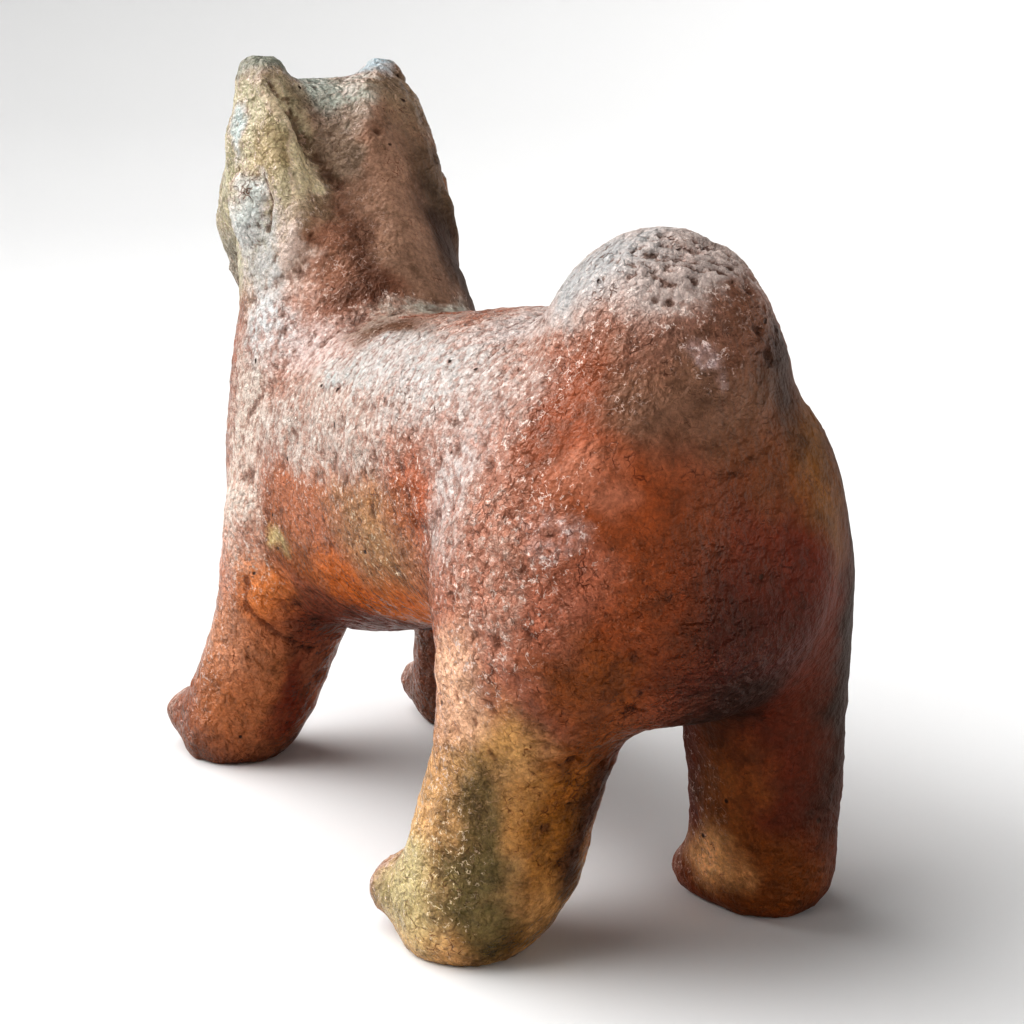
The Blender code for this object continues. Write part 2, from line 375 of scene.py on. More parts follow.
# %% [markdown]
# ## The grain of the clay
#
# The skin is rough in several ways: the dents of fingers and a pebbly grain nearly everywhere, small lumps
# on the thigh and the flank, scratches where a bundle of stems was dragged over the back, torn scales on
# the hump and beads of lime on the ear. Displace modifiers make them all. Each moves the skin in and out
# by a clouds texture, as far as a vertex group allows, and the group is painted in code: full inside a
# few egg-shaped places, and fading over their rims.

# %% Where the skin is rough
GROUP_STEPS = 20


def paint_group(piece, name, weights):
    """Stores the weights as a vertex group, in even steps from 0 to 1."""
    group = piece.vertex_groups.new(name=name)
    steps = np.round(weights * GROUP_STEPS).astype(int)
    for step in range(1, GROUP_STEPS + 1):
        group.add(np.nonzero(steps == step)[0].tolist(), step / GROUP_STEPS, "REPLACE")
    return name


COMBED = [((20, 10, 97), (16, 52, 14)), ((30, -15, 88), (12, 26, 18)), ((26, 48, 88), (9, 16, 12)),
          ((-14, 10, 97), (16, 50, 14)), ((10, 78, 109), (10, 10, 9)), ((8, 84, 102), (8, 5, 6))]
TORN = [((2, 77.5, 113), (9, 7, 4))]
LUMPY = [((33, 72, 62), (10, 15, 20)), ((30, 30, 76), (8, 22, 10))]
BEADED = [((24, -48, 120), (4, 6, 9))]
RUBBED_AWAY = 0.65
SMOOTH_RUBBED = [((8, 88, 84), (20, 14, 16)), ((-2, -28, 122), (12, 14, 22)), ((-20, 80, 60), (20, 20, 20)),
                 ((10, 66, 112), (14, 9, 8))]
points, outward = skin_arrays(ram)
combed = paint_group(ram, "combed", egg_weights(points, COMBED))
torn = paint_group(ram, "torn", egg_weights(points, TORN))
grained = paint_group(ram, "grained", 1 - RUBBED_AWAY * egg_weights(points, SMOOTH_RUBBED))
fine = paint_group(ram, "fine", egg_weights(points, FINE, fade=0.3))
lumpy = paint_group(ram, "lumpy", egg_weights(points, LUMPY, fade=0.5))
beaded = paint_group(ram, "beaded", egg_weights(points, BEADED, fade=0.3))
print("combed points:", int((egg_weights(points, COMBED) > 0.5).sum()))

# %% [markdown]
# A clouds texture has no direction. The scratches get theirs from an empty: the texture is read in the
# empty's own space, and the empty is long along the scratch and narrow across it. It points as the hand
# moved, from the flank up over the back. The empty is as wide as the grain, and the cloud's size is a share
# of it. On the hump the clay tore the other way, round it from left to right, and a colour ramp gives the
# torn scales steeper sides.

# %% Roughen the skin
HAND_PULLED = Vector((-0.62, -0.10, 0.78))
TORN_ALONG = Vector((-0.80, 0.50, -0.33))
CLOUD_SIZE = 0.5


def roughen(piece, grain_mm, height_mm, group, length=1, ramp=None, along=HAND_PULLED):
    """Moves the skin by a clouds texture with grains of this width, over this height in all."""
    bpy.ops.object.select_all(action="DESELECT")
    bpy.ops.object.empty_add(rotation=along.to_track_quat("Y", "Z").to_euler())
    guide = bpy.context.object
    guide.scale = Vector((1, length, 1)) * grain_mm * MM
    clouds = bpy.data.textures.new("grain", "CLOUDS")
    clouds.noise_scale = CLOUD_SIZE
    clouds.noise_depth = 1
    if ramp:
        clouds.use_color_ramp = True
        low, high = clouds.color_ramp.elements
        low.position, high.position = ramp
        low.color = (0, 0, 0, 1)
        high.color = (1, 1, 1, 1)
    bpy.context.view_layer.update()
    finish_with(piece, "DISPLACE", texture=clouds, texture_coords="OBJECT", texture_coords_object=guide,
                vertex_group=group, strength=height_mm * MM, mid_level=0.5, direction="NORMAL")
    bpy.data.objects.remove(guide)
    bpy.data.textures.remove(clouds)


roughen(ram, 14, 0.9, grained)
roughen(ram, 5.5, 0.55, grained)
roughen(ram, 2.6, 0.35, grained)
roughen(ram, 2.6, 0.45, combed, length=2.6)
roughen(ram, 1.3, 0.28, fine, length=2.2)
roughen(ram, 1.8, 0.45, beaded)
roughen(ram, 2.1, 0.9, torn, length=3, ramp=(0.25, 0.6), along=TORN_ALONG)
roughen(ram, 4.4, 0.7, lumpy)
roughen(ram, 2.2, 0.3, lumpy)
print("roughened:", len(ram.data.vertices), "points")

# %% [markdown]
# Single pits and tears remain, where a pebble fell out, a straw burnt out or dry clay dragged under the
# hand. Their places are given on the legs, the nape and the hump. A pit is a very short stroke,
# listed with its reach and its depth, and a tear goes from one place to another.

# %% Pits and tears
PITS = [((22.3, 78.3, 36.8), 1.6, 1.3), ((24.4, 74, 24.7), 1.4, 0.9), ((-2.4, -35.7, 135.6), 1.8, 0.9),
        ((17.5, 73.5, 9), 1.4, 1.0), ((9.2, 81, 107.4), 1.3, 0.8), ((7.6, 82.4, 107.2), 1.2, 0.7),
        ((-6.3, 83.6, 108.2), 1.5, 0.8), ((-5.6, 86.9, 102.5), 1.6, 0.8), ((-7, 87.8, 98.6), 1.4, 0.7)]
TEARS = [((4.2, 75.4, 115.2), (2.6, 77.2, 114.2)), ((-0.6, 77.2, 114.9), (-3.2, 78.4, 114.0)),
         ((2.7, 72.6, 116.6), (0.6, 73.6, 116.4)), ((-2, 80.8, 112.4), (-5, 81.2, 111.4)),
         ((4.2, 79, 113), (1.5, 80.4, 112.4)), ((6.5, 77.8, 112.8), (4.8, 79.6, 112.2)),
         ((-5, 76.4, 114.7), (-7, 78.4, 112.8)), ((7, 74.6, 114.2), (6, 76.2, 113.8)),
         ((1.5, 81.6, 111.3), (-1.2, 82.4, 110.9)), ((5.5, 80.8, 110.8), (3.4, 82.6, 109.9)),
         ((-7.6, 80.6, 111), (-9.4, 80.4, 110))]
PIT_DRAG = np.array((0.4, 0, 0.3))
TEAR_REACH, TEAR_DEPTH = 0.9, 0.6
for place, reach, depth in PITS:
    stroke(ram, [place, place + PIT_DRAG], reach, depth)
for start, end in TEARS:
    stroke(ram, [start, end], TEAR_REACH, TEAR_DEPTH)
print("pits:", len(PITS), "tears:", len(TEARS))

# %% [markdown]
# The feet were pressed flat on the board before the clay dried, so whatever the brushes pushed under
# the ground comes back up to it.

# %% Flat soles
points, outward = skin_arrays(ram)
points[:, 2] = np.maximum(points[:, 2], 0)
put_points(ram, points)
print("sole points:", int((points[:, 2] < 0.001).sum()))

# %% [markdown]
# ## The hollows
#
# Burnishing and handling polish what stands up, and the material darkens the hollows and keeps thick dust
# off them. The skin can measure that itself: each point is compared with the mean of its neighbours, some
# rings wide. A point that lies deeper than they do is in a hollow. The number is stored as an attribute
# that the material reads.

# %% Measure the hollows
def neighbour_mean(piece, values, rounds):
    """Each point's value, blended this many times with the mean of its neighbours'."""
    edges = np.empty(len(piece.data.edges) * 2, dtype=int)
    piece.data.edges.foreach_get("vertices", edges)
    first, second = edges.reshape(-1, 2).T
    count = np.bincount(edges, minlength=len(values))[:, None]
    for _ in range(rounds):
        total = np.zeros_like(values)
        np.add.at(total, first, values[second])
        np.add.at(total, second, values[first])
        values = (values + total / count) / 2
    return values


HOLLOW_ROUNDS = 14
HOLLOW_DEPTH = 0.25
points, outward = skin_arrays(ram)
lift = ((neighbour_mean(ram, points, HOLLOW_ROUNDS) - points) * outward).sum(axis=1)
hollow = np.clip(0.5 + lift / HOLLOW_DEPTH / 2, 0, 1)


def store(name, values):
    """Keeps one number for each point, for the material to read by this name."""
    kept = ram.data.attributes.new(name, "FLOAT", "POINT")
    kept.data.foreach_set("value", values.astype(np.float32))


store("hollow", hollow)
store("combed_skin", egg_weights(points, COMBED))
print("hollow, mm:", [round(float(value), 2) for value in np.percentile(lift, (1, 50, 99))])

# %% [markdown]
# The real one is palest on its left and its back: partly dust, as if it had lain buried on its right side
# and lime had settled on what looked up, and partly painted sheen, as the lamps light that side. How far
# each place faced that way is measured too, for the film of dust and painted sheen further on. The normals
# are blended with their neighbours' first, so that it follows the form and not the grain.

# %% Measure which way faced the dust and the lamps
DUST_AND_LIGHT_SIDE = np.array((0.62, -0.30, 0.72))
FORM_ROUNDS = 30
broad = neighbour_mean(ram, outward, FORM_ROUNDS)
broad = broad / np.linalg.norm(broad, axis=1)[:, None]
faced_dust_and_light_side = broad @ DUST_AND_LIGHT_SIDE
print("share that faced up:", round(float((faced_dust_and_light_side > 0.5).mean()), 2))

# %% [markdown]
# ## Stains of the fire, with painted shade and highlights
# Some patches stand for light and shade. The darker ones on the right side and between the legs are partly
# painted shade, and a few pale ones on the hind legs are painted highlights and sheen.
#
# In an open fire one side of a pot sits in flame and another in ash and smoke, so the clay comes out in
# red, orange, ochre, olive and black, in patches that run into each other. Dozens of such patches would
# be heavy as shader nodes. They are soft and follow the body, so they are painted on the skin's points
# instead, as a colour attribute, and the material adds what is finer than a point can hold.
#
# Each patch is an egg: a centre and three half sizes in mm, a strength, and how softly its rim ends. The
# rims are measured from points that two noises have shaken, which makes them ragged. The noises have a
# seed of their own, so that the patches come out the same each time. Colours are hex values as on a
# screen, turned by one function into the linear values that light is counted in.

# %% Helpers for painting the skin
SLOW_SHAKE, QUICK_SHAKE = (12, 4.0), (2.6, 1.1)
SHAKE_OCTAVES, SHAKE_SEED = 3, 3


def linear(hex_colour):
    """A colour such as #a05537, from sRGB to linear."""
    channels = [int(hex_colour[i:i + 2], 16) / 255 for i in (1, 3, 5)]
    return [c / 12.92 if c <= 0.04045 else ((c + 0.055) / 1.055) ** 2.4 for c in channels] + [1]


def shaken(points):
    """The points moved about by noises, each with a grain and a reach in mm."""
    noise.seed_set(SHAKE_SEED)
    moved = points.copy()
    for grain, reach in (SLOW_SHAKE, QUICK_SHAKE):
        moved += [noise.turbulence_vector(Vector(point / grain), SHAKE_OCTAVES, False) * reach
                  for point in points]
    return moved


def patch(centre, half_sizes, soft):
    """How much of an egg-shaped patch each point has: 1 inside, and 0 beyond its soft rim."""
    reach = np.linalg.norm((ragged - np.array(centre)) / np.array(half_sizes), axis=1)
    share = np.clip((1 + soft - reach) / (2 * soft), 0, 1)
    return share * share * (3 - 2 * share)


ragged = shaken(points)
print("shaken by, mm:", round(float(np.abs(ragged - points).mean()), 2))

# %% Stains of the fire, with painted shade and highlights
FIRE_STAINS_AND_PAINTED_LIGHT = [
    # Partly smoke and partly painted shade: the right side lies away from the lamps.
    ("smoke and painted shade on the right flank", "#5a3424", (-30, 14, 62), (14, 44, 22), 0.6, 0.9),
    ("rosy right side of the back", "#94604c", (-20, 20, 88), (14, 50, 12), 0.6, 0.8),
    ("olive right shoulder", "#8a6644", (-27, -40, 58), (12, 18, 24), 0.6, 0.8),
    ("orange breast", "#a4603c", (4, -68, 66), (22, 14, 20), 0.5, 0.9),
    ("smoke under the right fore leg", "#54301e", (-30, -50, 12), (14, 16, 14), 0.6, 0.8),
    ("smoke on the soles", "#5a3826", (0, -50, 2), (50, 30, 5), 0.6, 0.8),
    ("rosy back and flank", "#9b6854", (24, 14, 84), (24, 66, 26), 0.85, 0.5),
    ("orange flank", "#ad6b47", (30, 8, 62), (9, 36, 12), 0.9, 0.4),
    ("burnt edge of the belly", "#cb7022", (25, 16, 50), (12, 34, 6), 0.85, 0.5),
    ("orange groin", "#cc722f", (23, 28, 50), (7, 8, 6), 0.85, 0.6),
    ("rosy left shoulder", "#cc937a", (30, -40, 50), (9, 14, 20), 0.85, 0.5),
    ("pink left thigh", "#aa705a", (34, 68, 60), (11, 17, 24), 0.9, 0.5),
    ("red brown rump", "#87441c", (21, 92, 68), (13, 13, 24), 0.9, 0.4),
    # Partly smoke and partly painted shade of the side away from the lamps.
    ("smoke and painted shade on the right rump and leg", "#5c1805", (-20, 80, 50), (31, 34, 58), 0.95, 0.4),
    # Painted shade where the rear turns in between the thighs.
    ("painted shade on the dark red seat", "#3b0500", (0, 96, 54), (15, 14, 13), 0.9, 0.5),
    ("maroon right hind leg", "#5d1e04", (-18, 76, 34), (15, 20, 20), 0.9, 0.6),
    # Painted shade in the gap between the hind legs.
    ("painted shade between the hind legs", "#180200", (-2, 82, 42), (12, 14, 11), 0.95, 0.4),
    ("brown top of the right rump", "#734628", (-8, 88, 86), (14, 11, 12), 0.85, 0.5),
    ("rosy rump by the hump", "#854426", (22, 78, 91), (10, 12, 8), 0.9, 0.4),
    ("olive brown top of the rump", "#6d4c3a", (11, 86, 96), (12, 8, 6), 0.8, 0.6),
    ("ochre inner thigh", "#7f4512", (25, 85, 53), (6, 8, 9), 0.85, 0.5),
    ("rosy brown back of the thigh", "#ac6f5a", (28.5, 84.5, 63), (6, 6, 8), 0.8, 0.6),
    ("rosy patch on the rump", "#a86f58", (23, 86, 83), (5, 6, 5), 0.85, 0.5),
    ("brown middle of the rump", "#7a4a32", (9, 91, 79), (6, 6, 6), 0.5, 0.7),
    ("ochre right haunch", "#825924", (-19, 86, 80), (7, 12, 13), 0.85, 0.7),
    # Painted shade, with some smoke, beside the rump's right edge.
    ("painted shade and smoke round the strip", "#3c1a0e", (-30, 76, 58), (13, 26, 40), 0.7, 0.9),
    # Painted shadow along the right edge of the rump.
    ("painted shadow along the right rump's edge", "#090401", (-30, 84, 50), (6.5, 13, 34), 0.97, 0.6),
    ("grey brown hump", "#876a5f", (1, 78, 109), (19, 14, 12), 0.9, 0.5),
    ("brown side of the hump", "#6e4a36", (-4, 86, 106), (6, 6, 6), 0.8, 0.6),
    ("brown band under the hump", "#7a5e4d", (2, 89, 93), (17, 8, 8), 0.8, 0.6),
    ("brown nape", "#9a7d6a", (-6, -28, 116), (19, 22, 34), 0.97, 0.4),
    ("rosy brown root of the neck", "#8a5c48", (12, -20, 102), (10, 10, 7), 0.8, 0.5),
    ("dark middle of the nape", "#4c2c1c", (8.5, -26.5, 110), (4.5, 12, 14), 0.88, 0.6),
    ("dark root of the nape", "#4a2c1e", (9.5, -20, 104), (6.5, 7, 5.5), 0.7, 0.6),
    ("brown left side of the neck", "#9d735e", (17, -31, 113), (8, 10, 13), 0.85, 0.5),
    # Painted shade along the right of the neck.
    ("painted shade on the right of the neck", "#221107", (-17.5, -26, 117), (9, 14, 34), 0.95, 0.5),
    # Painted shade on the right contour of the hump.
    ("painted shade on the right contour", "#180904", (-12, 88, 98), (7, 8, 12), 0.95, 0.6),
    ("ochre left hind leg", "#cfa36f", (33, 68, 12), (22, 26, 30), 0.97, 0.25),
    ("pale toe", "#b6ae84", (42, 52, 12), (8, 10, 12), 0.85, 0.5),
    ("brown back of the left hind leg", "#773f0a", (20, 80, 32), (6.5, 8, 18), 0.92, 0.5),
    # Painted shade, with some smoke, on the side of the leg that faces away from the lamps.
    ("painted shade and smoke on the inner side of the left hind leg", "#321103", (16.5, 73.5, 22), (5, 7, 22), 0.95, 0.45),
    ("golden brown side of the left hind leg", "#946111", (24.5, 76, 20), (5.5, 8, 16), 0.75, 0.6),
    ("yellow knee", "#cfa468", (33, 72, 42), (6, 6, 6), 0.8, 0.7),
    ("dark sole of the left hind leg", "#5f440d", (31, 70, 4), (9, 9, 5), 0.85, 0.5),
    # Partly painted sheen: the top of the leg faces the lamps.
    ("pink top of the left hind leg with painted sheen", "#ebbfa0", (37, 64, 48), (6, 8, 9), 0.85, 0.5),
    ("olive smoke on the leg", "#675a38", (34, 69, 28), (5, 8, 11), 0.95, 0.5),
    ("olive smoke above the foot", "#5c5635", (36, 67, 15), (5.5, 8, 9), 0.95, 0.5),
    ("olive smoke down to the sole", "#6c6440", (33, 71, 6), (5, 7, 7), 0.8, 0.6),
    ("brown right hind foot", "#7a4309", (-15, 75, 8), (14, 16, 10), 0.85, 0.5),
    ("ochre inner edge of the right leg", "#905c2b", (-11, 74, 24), (4, 8, 12), 0.7, 0.7),
    # Painted highlight on the tip of the toe.
    ("painted highlight on the right hind toe", "#edbb86", (-12, 67, 10), (4, 7, 6), 0.8, 0.6),
    ("orange left shoulder", "#e58e4b", (29, -33, 41), (7, 8, 10), 0.9, 0.5),
    ("brown flank above it", "#94582c", (29, -18, 54), (6, 12, 7), 0.7, 0.5),
    ("orange flank by the thigh", "#a4542c", (31, 42, 73), (6, 8, 8), 0.85, 0.5),
    ("olive flank", "#a2825a", (30, 24, 64), (10, 15, 9), 0.75, 0.8),
    ("brown belly", "#591701", (14, 0, 36), (16, 40, 10), 0.85, 0.6),
    ("left foreleg", "#b6754a", (30, -44, 20), (12, 14, 16), 0.85, 0.5),
    ("rosy side of the left foreleg", "#c28a6a", (33, -45, 30), (6, 7, 9), 0.8, 0.6),
    ("dark back of the left foreleg", "#651801", (21, -36, 14), (5, 8, 12), 0.9, 0.5),
    ("yellow chip", "#cabb86", (30, -22.7, 54.6), (4, 4.6, 2.6), 0.85, 0.45),
    ("olive face", "#a8a284", (10, -76, 118), (24, 28, 26), 0.95, 0.45),
    ("olive right cheek", "#8e8468", (-16, -68, 122), (14, 26, 22), 0.8, 0.6),
    ("dark jaw", "#4a4438", (12, -83, 105.5), (8, 6, 5), 0.9, 0.4),
    ("cream cheek and horn", "#c7c1a4", (19, -54, 126), (11, 24, 27), 0.98, 0.3),
    ("ochre inside the horn", "#af9e79", (20, -42, 130), (5, 6, 9), 0.85, 0.5),
    ("grey ear", "#cfd7ce", (24, -47, 119.5), (4, 6, 9), 0.95, 0.3),
    ("olive front of the horn", "#a3a07c", (23, -56, 131), (6, 5, 12), 0.6, 0.5),
    ("grey crown", "#b2b9af", (1, -52, 143), (10, 15, 10), 0.97, 0.3),
    ("brown grey slope of the crown", "#887a6a", (5.5, -40, 132), (4.5, 6, 9), 0.9, 0.4),
    ("brown right horn", "#8c7964", (-12, -48, 144), (10, 14, 11), 0.92, 0.4),
]

RED_CLAY = "#884f36"
fired_colour_and_painted_light = np.tile(linear(RED_CLAY), (len(points), 1))
for name, patch_colour, centre, half_sizes, strength, soft in FIRE_STAINS_AND_PAINTED_LIGHT:
    share = (patch(centre, half_sizes, soft) * strength)[:, None]
    fired_colour_and_painted_light = fired_colour_and_painted_light * (1 - share) + np.array(linear(patch_colour)) * share


def store_colour(name, values):
    """Keeps one linear colour for each point."""
    kept = ram.data.color_attributes.new(name, "FLOAT_COLOR", "POINT")
    kept.data.foreach_set("color", values.astype(np.float32).ravel())


store_colour("fired_colour_and_painted_light", fired_colour_and_painted_light)
print("fire stains:", len(FIRE_STAINS_AND_PAINTED_LIGHT))

# %% [markdown]
# ## Dust and lime, and painted sheen
#
# In the ground, lime and dust settled on the side that looked up. A thin film of them is left all over
# that side, and thicker patches of several colours: greyish white on the back and the ear, pinkish grey
# on the hump, bluish white on the right horn's tip. The film and the pale patches on the back, the flank,
# the shoulder, the thigh and the neck's root are partly painted sheen, because the lamps light that side.
# Each patch sets how much dust is there and its colour, and a later one lies over an earlier one. A low
# amount is clay that was rubbed nearly clean again.

# %% Patches of dust and painted sheen
DUST_AND_SHEEN = [
    # The pale patches down to the neck's foot are partly dust and partly painted sheen on the lit side.
    ("dust and painted sheen on the back", "#c0c4c3", (23, 26, 93), (14, 38, 8), 0.66),
    ("dust and painted sheen on the upper flank", "#c6c2bb", (28, 0, 80), (9, 36, 9), 0.56),
    ("dust and painted sheen on the shoulder", "#d7cfc5", (29, -38, 72), (9, 12, 28), 0.62),
    ("dust and painted sheen down the thigh", "#c9c6c4", (31, 58, 77), (7, 10, 14), 0.56),
    ("dust and painted sheen on the thigh", "#c4aea2", (34, 74, 64), (8, 11, 16), 0.42),
    ("lilac dust and painted sheen on the thigh", "#cdb8b4", (29, 83, 73.5), (5, 5, 5), 0.42),
    ("dust and painted sheen at the neck's root", "#bfc8c7", (25, 2, 90.5), (6, 12, 3), 0.66),
    ("dust and painted sheen at the neck's foot", "#d4c6c3", (22, -24, 95), (8, 14, 6), 0.64),
    ("rubbed clean rump", "#c8aca0", (20, 79, 89), (9, 9, 7), 0.1),
    ("pinkish grey over the hump", "#b6aba6", (3, 77, 113), (17, 11, 10), 0.78),
    ("grey dust on the hump", "#a8acad", (12, 66, 111), (15, 9, 10), 1.0),
    ("rubbed side of the hump", "#a08a80", (-4.5, 86, 106.5), (6, 5, 5), 0.15),
    ("grey dust before the hump", "#c2bab7", (8, 50, 102), (22, 14, 4), 0.75),
    ("brown band above the pale back", "#55371e", (15, 3, 98.6), (7, 18, 3), 0.95),
    ("grey dust behind the neck", "#a6a59b", (-8, -12, 99), (20, 9, 4), 0.85),
    # Painted glints on the rump below the hump.
    ("painted glints on the rump", "#bca8a8", (4.5, 88, 99), (5, 3, 3), 0.5),
    # Painted highlights on the neck.
    ("painted highlights on the neck", "#d2dcde", (23.5, -36, 100), (7, 9, 10), 0.54),
    ("pink dust on the neck", "#cdb0a4", (19, -29, 105), (6, 8, 8), 0.5),
    ("blue white patch", "#bccac8", (22, -55, 137), (4, 4, 6), 0.95),
    ("grey white ear", "#e6f0ec", (24, -47, 120), (3.5, 5.5, 8.5), 1.0),
    ("grey white cheek", "#c2c4c2", (21, -41, 110), (7, 11, 13), 0.8),
    ("white dust behind the ear", "#d8c8be", (17, -32.5, 111.5), (4, 4.5, 6), 0.7),
    ("grey jaw", "#a9a593", (16, -78, 108), (10, 16, 10), 0.6),
    ("olive grey left tip", "#7e877c", (15, -54, 149.5), (6, 7, 4), 0.85),
    ("cream top of the left crest", "#dccfae", (16.8, -45, 141), (2.6, 5, 6), 0.9),
    ("cream crest lower down", "#dccfae", (14.5, -39, 126), (3.4, 6, 12), 1.0),
    ("white right tip", "#adbfc7", (-12, -55, 151), (6, 7, 2.5), 0.95),
    ("white edge of the right horn", "#c4c4bc", (-7, -49, 148), (4, 4, 2.5), 0.9),
    ("white edge lower down", "#c4c4bc", (-1.5, -44.5, 143), (3, 3, 3), 0.85),
    # Painted shadow under the overhang of the right horn tip.
    ("painted shadow under the right tip", "#3a332c", (-12, -51, 148.6), (4.5, 2.2, 1.2), 1.0),
    ("pale left fore toe", "#947b6f", (35, -61, 14), (6, 8, 7), 0.2),
    ("yellow flecks on the hind leg", "#e2cc88", (39, 60, 14), (6, 11, 15), 0.3),
    ("yellow flecks on the olive flank", "#e0cc98", (30, 24, 62), (8, 13, 9), 0.3),
]

# The film is partly dust and partly painted sheen: it grows where the skin faces the lamps.
FILM, FILM_FROM, FILM_COLOUR = 0.45, 0.2, "#c8aca0"
DUST_SOFT = 0.55
dust_and_sheen_amount = np.clip((faced_dust_and_light_side - FILM_FROM) / (1 - FILM_FROM), 0, 1) * FILM
dust_and_sheen_colours = np.tile(linear(FILM_COLOUR), (len(points), 1))
# Each patch's colour is dust, and on the pale patches of the lit side partly painted sheen as well.
for name, dust, centre, half_sizes, amount in DUST_AND_SHEEN:
    share = patch(centre, half_sizes, DUST_SOFT)
    dust_and_sheen_amount = dust_and_sheen_amount * (1 - share) + amount * share
    dust_and_sheen_colours = dust_and_sheen_colours * (1 - share[:, None]) + np.array(linear(dust)) * share[:, None]
store("dust_and_sheen_amount", dust_and_sheen_amount)
store_colour("dust", dust_and_sheen_colours)
print("dust patches:", len(DUST_AND_SHEEN))

# %% [markdown]
# Soot and handling took the shine off the right side, the rump and the nape.

# %% Where the clay is dull
DULL = [((-24, 60, 60), (30, 60, 70)), ((16, 84, 84), (16, 12, 14)), ((-8, -26, 115), (20, 20, 32))]
DULL_SOFT = 0.5
store("dull", np.max([patch(centre, half_sizes, DULL_SOFT) for centre, half_sizes in DULL], axis=0))
print("dull places:", len(DULL))

# %% [markdown]
# ## Burnished earthenware
#
# Earthenware is clay fired at a low heat, coloured by iron: brick red where air reached it, brown and
# olive where smoke did, ochre where the heat was less. It was burnished, that is rubbed with a pebble
# before the fire, which gives a soft shine without a glaze. Its index of refraction is about that of
# other silicates, and its roughness lies between a glaze's 0.1 and a brick's 0.9.
#
# One small function adds a shader node with its settings and links. Every pattern is sized in
# millimetres, so the object's coordinates, in metres, are multiplied by a thousand first, and a noise's
# Scale is one over the width of its grain.

# %% A helper for the material
clay = bpy.data.materials.new("burnished earthenware")
clay.use_nodes = True
tree = clay.node_tree
shader = tree.nodes["Principled BSDF"]


def add(kind, inputs, output=0, **settings):
    """Adds a node and gives one of its outputs. A socket is linked in, any other input is a fixed value."""
    node = tree.nodes.new("ShaderNode" + kind)
    for name, value in settings.items():
        setattr(node, name, value)
    for name, value in inputs.items():
        if isinstance(value, bpy.types.NodeSocket):
            tree.links.new(value, node.inputs[name])
        else:
            node.inputs[name].default_value = value
    return node.outputs[output]


in_mm = add("Mapping", {"Vector": add("TexCoord", {}, "Object"), "Scale": (1000, 1000, 1000)})
hollows = add("Attribute", {}, "Fac", attribute_name="hollow")
print("coordinates in millimetres")

# %% [markdown]
# The fired colour, with its painted shade and highlights, is read from the skin and mottled: patches of
# about 8 mm are a little lighter or darker, because the slip went on unevenly, and smoke greyed others of
# about 5 mm.

# %% Fired clay
MOTTLE_MM, SMOKE_MM = 8, 5
colour = add("Attribute", {}, "Color", attribute_name="fired_colour_and_painted_light")
mottle = add("TexNoise", {"Vector": in_mm, "Scale": 1 / MOTTLE_MM, "Detail": 6, "Roughness": 0.65})
uneven = add("MapRange", {"Value": mottle, "From Min": 0.32, "From Max": 0.68,
                          "To Min": 0.75, "To Max": 1.25})
colour = add("VectorMath", {0: colour, "Scale": uneven}, operation="SCALE")
smoke = add("TexNoise", {"Vector": in_mm, "Scale": 1 / SMOKE_MM, "Detail": 6, "Roughness": 0.7})
smoky = add("MapRange", {"Value": smoke, "From Min": 0.5, "From Max": 0.66, "To Max": 0.75})
colour = add("Mix", {0: smoky, 6: colour, 7: linear("#b2aea4")}, 2, data_type="RGBA", blend_type="MULTIPLY")

# %% [markdown]
# Dust and painted sheen lie in three layers. A thin veil lets the clay show through. Thicker dust holds on
# the raised grain, and where there is more of it, it covers the hollows too: the amount that the skin holds
# is multiplied by the grain before a threshold turns it into cover. Last come painted glints: thin pale
# wrinkled lines where the dust and sheen lie. They are lines where a noise is near its middle value, broken
# up by the grain. Real dust is far finer than a picture shows, so its grain and the glint lines are drawn
# as coarse as they need to be to show.

# %% Dust, painted sheen and painted glints on the grain
SPECK_MM, GLINT_LINE_MM = 1.3, 2.0
# The amount and the colour read here hold both dust and painted sheen.
amount = add("Attribute", {}, "Fac", attribute_name="dust_and_sheen_amount")
dust_and_sheen_here = add("Attribute", {}, "Color", attribute_name="dust")
veil = add("MapRange", {"Value": amount, "From Min": 0.3, "From Max": 1.0, "To Max": 0.75})
colour = add("Mix", {0: veil, 6: colour, 7: dust_and_sheen_here}, 2, data_type="RGBA")
specks = add("TexNoise", {"Vector": in_mm, "Scale": 1 / SPECK_MM, "Detail": 4, "Roughness": 0.6})
raised = add("MapRange", {"Value": specks, "From Min": 0.25, "From Max": 0.75, "To Min": 0.7, "To Max": 2.0})
raised = add("Math", {0: hollows, 1: -0.7, 2: raised}, operation="MULTIPLY_ADD")
thick = add("Math", {0: amount, 1: raised}, operation="MULTIPLY")
cover = add("MapRange", {"Value": thick, "From Min": 0.3, "From Max": 0.95, "To Max": 0.85},
            interpolation_type="SMOOTHSTEP")
colour = add("Mix", {0: cover, 6: colour, 7: dust_and_sheen_here}, 2, data_type="RGBA")
# Painted glints: thin pale lines where there is dust and sheen.
wrinkled = add("TexNoise", {"Vector": in_mm, "Scale": 1 / GLINT_LINE_MM, "Detail": 3, "Roughness": 0.6})
glint_lines = add("Math", {0: wrinkled, 1: 0.5, 2: 0.022}, operation="COMPARE")
broken = add("MapRange", {"Value": specks, "From Min": 0.49, "From Max": 0.58, "To Max": 0.75})
glint_lines = add("Math", {0: glint_lines, 1: broken}, operation="MULTIPLY")
enough = add("MapRange", {"Value": amount, "From Min": 0.06, "From Max": 0.3})
glint_lines = add("Math", {0: glint_lines, 1: enough}, operation="MULTIPLY")
glint = add("Mix", {0: 0.5, 6: dust_and_sheen_here, 7: linear("#fff0e8")}, 2, data_type="RGBA")
colour = add("Mix", {0: glint_lines, 6: colour, 7: glint}, 2, data_type="RGBA")

